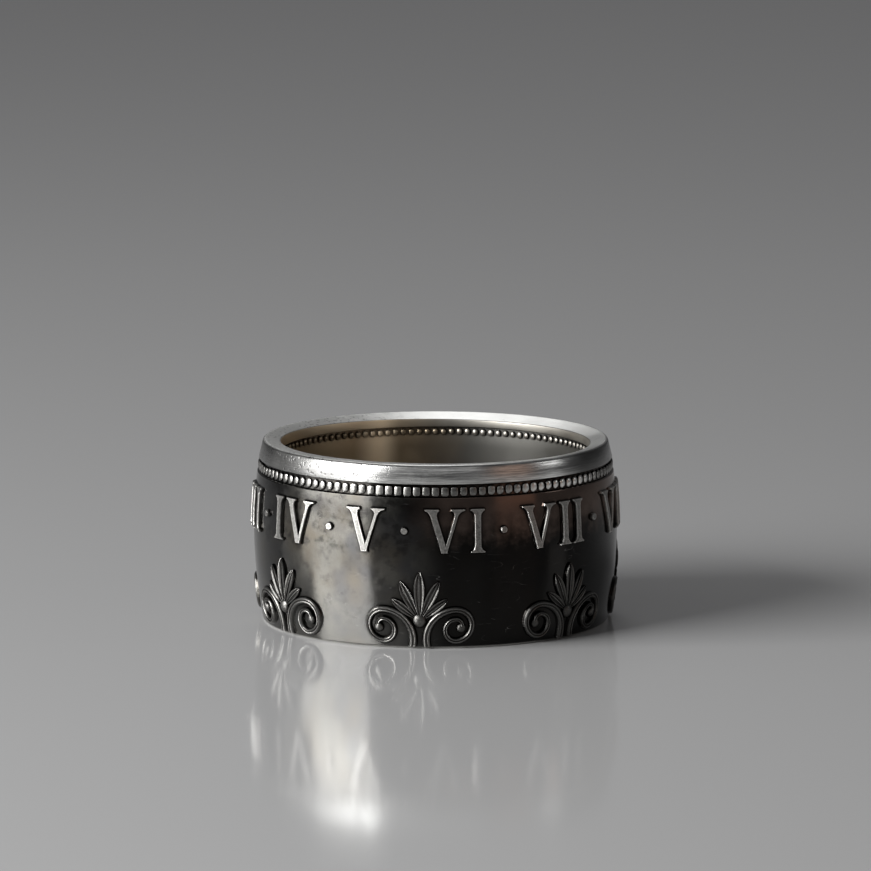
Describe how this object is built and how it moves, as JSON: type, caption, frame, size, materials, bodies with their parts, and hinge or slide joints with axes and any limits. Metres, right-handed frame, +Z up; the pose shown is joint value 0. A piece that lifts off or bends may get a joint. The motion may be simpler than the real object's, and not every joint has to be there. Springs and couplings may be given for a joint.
{
  "type": "coin ring",
  "caption": "Wide crowned finger ring in antiqued silver, with a plain rim, bead rows, a raised line of Roman numerals and raised palmettes and scrolls.",
  "frame": {"origin": "centre of the finger hole in the plane of the lower edge, which the ring lies on", "axes": "+Z up along the axis of the finger hole, towards the plain rim; -Y is the front"},
  "size_m": [0.0244, 0.0244, 0.012],
  "materials": {
    "silver": "antiqued silver, satin field darkened in its recesses, polished rim"
  },
  "bodies": {
    "root": {"coin_ring": "silver"}
  },
  "joints": []
}
